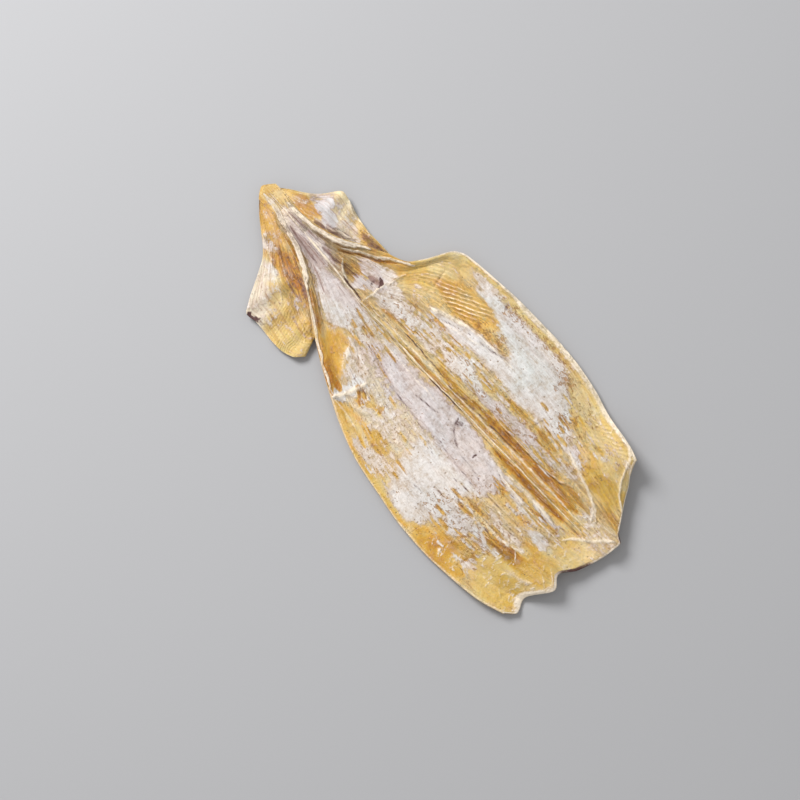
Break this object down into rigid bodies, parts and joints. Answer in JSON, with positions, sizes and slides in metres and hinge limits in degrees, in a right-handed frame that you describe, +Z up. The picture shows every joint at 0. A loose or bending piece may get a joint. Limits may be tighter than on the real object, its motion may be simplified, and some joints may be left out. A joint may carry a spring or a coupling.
{
  "type": "dried squid",
  "caption": "Dried squid body, slit open and dried flat, with raised cut edges, a pen ridge down its middle, a ragged open end and a fin on each side of its blunt tip.",
  "frame": {"origin": "middle of the bounding box, on the surface that the squid lies on", "axes": "+Y towards the tip, +X towards the right side when the tip points away, +Z up, out of the inner side of the body"},
  "size_m": [0.132, 0.2733, 0.0151],
  "materials": {
    "dried_flesh": "semi-matte amber to straw yellow, dusted with a white bloom"
  },
  "bodies": {
    "root": {"dried_squid": "dried_flesh"}
  },
  "joints": []
}
